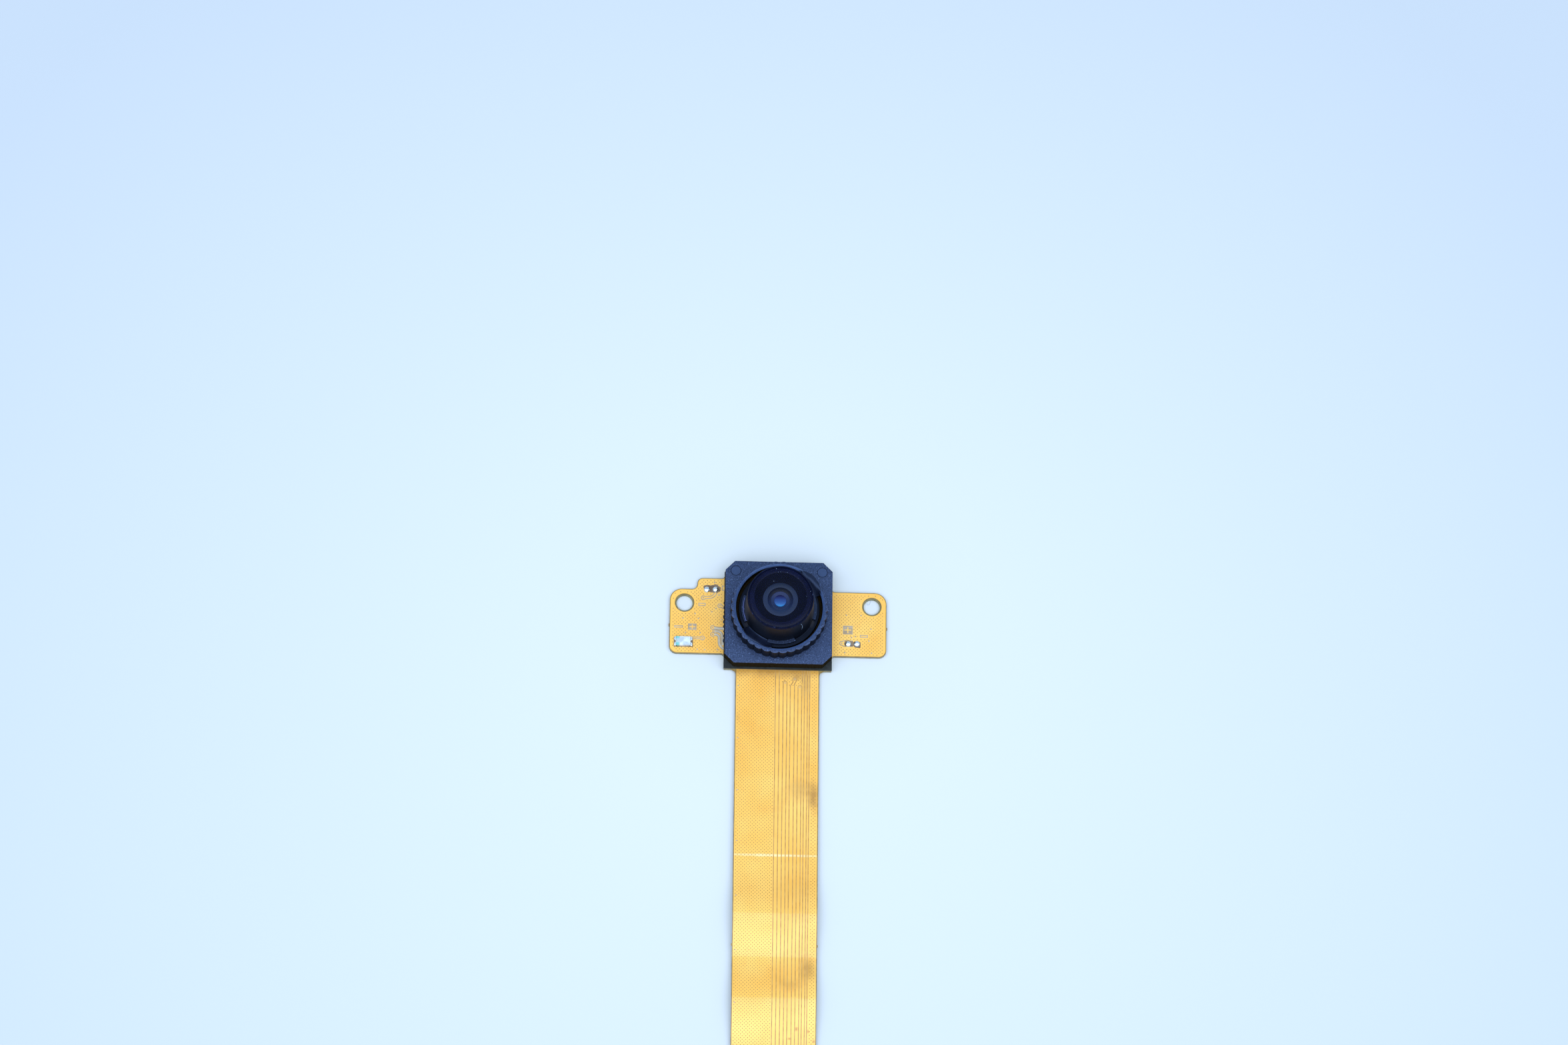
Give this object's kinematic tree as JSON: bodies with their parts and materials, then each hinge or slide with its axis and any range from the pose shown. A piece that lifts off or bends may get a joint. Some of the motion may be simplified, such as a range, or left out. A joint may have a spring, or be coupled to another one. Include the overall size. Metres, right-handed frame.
{
  "type": "camera module",
  "caption": "Board camera with a threaded wide-angle lens in a square holder, on a two-wing flex circuit with a long flat tail.",
  "frame": {"origin": "on the optical axis, in the plane of the back face that the module lies on", "axes": "+Z along the optical axis, out of the lens; +X through the two wings, along the line of the mounting holes; the flat tail runs along -Y"},
  "size_m": [0.0326, 0.1025, 0.0104],
  "materials": {
    "holder_black": "fine spark-eroded texture",
    "barrel_black": "glossy black anodised",
    "front_glass": "coated glass",
    "inner_black": "flat black",
    "inner_grey": "satin grey",
    "inner_glass": "coated glass",
    "filter_glass": "infrared filter",
    "sensor_black": "packaged silicon",
    "board_green": "glass-filled laminate",
    "flex_gold": "polyimide over copper",
    "stiffener_olive": "glass-filled laminate",
    "stiffener_amber": "polyimide",
    "copper": "gold-plated copper",
    "lamp_white": "white moulding",
    "tin": "tinned metal",
    "ceramic_tan": "fired ceramic",
    "glue_black": "cured adhesive"
  },
  "bodies": {
    "root": {"lens_holder": "holder_black", "lens_barrel": "barrel_black", "front_element": "front_glass", "front_spacer": "inner_black", "second_element": "inner_grey", "aperture_stop": "inner_grey", "third_element": "inner_glass", "rear_spacer": "inner_black", "rear_element": "inner_glass", "ir_filter": "filter_glass", "sensor_package": "sensor_black", "sensor_cover_glass": "inner_glass", "sensor_balls": "tin", "chip_capacitors": "ceramic_tan", "sensor_board": "board_green", "flex_circuit": "flex_gold", "head_stiffener": "stiffener_olive", "conductors": "copper", "via_rings": "copper", "polarity_marks": "copper", "led_body": "lamp_white", "led_terminals": "tin", "solder_pads": "tin", "solder_joints": "tin", "lens_glue": "glue_black", "foot_adhesive": "glue_black", "contact_stiffener": "stiffener_amber", "contact_fingers": "copper"}
  },
  "joints": []
}
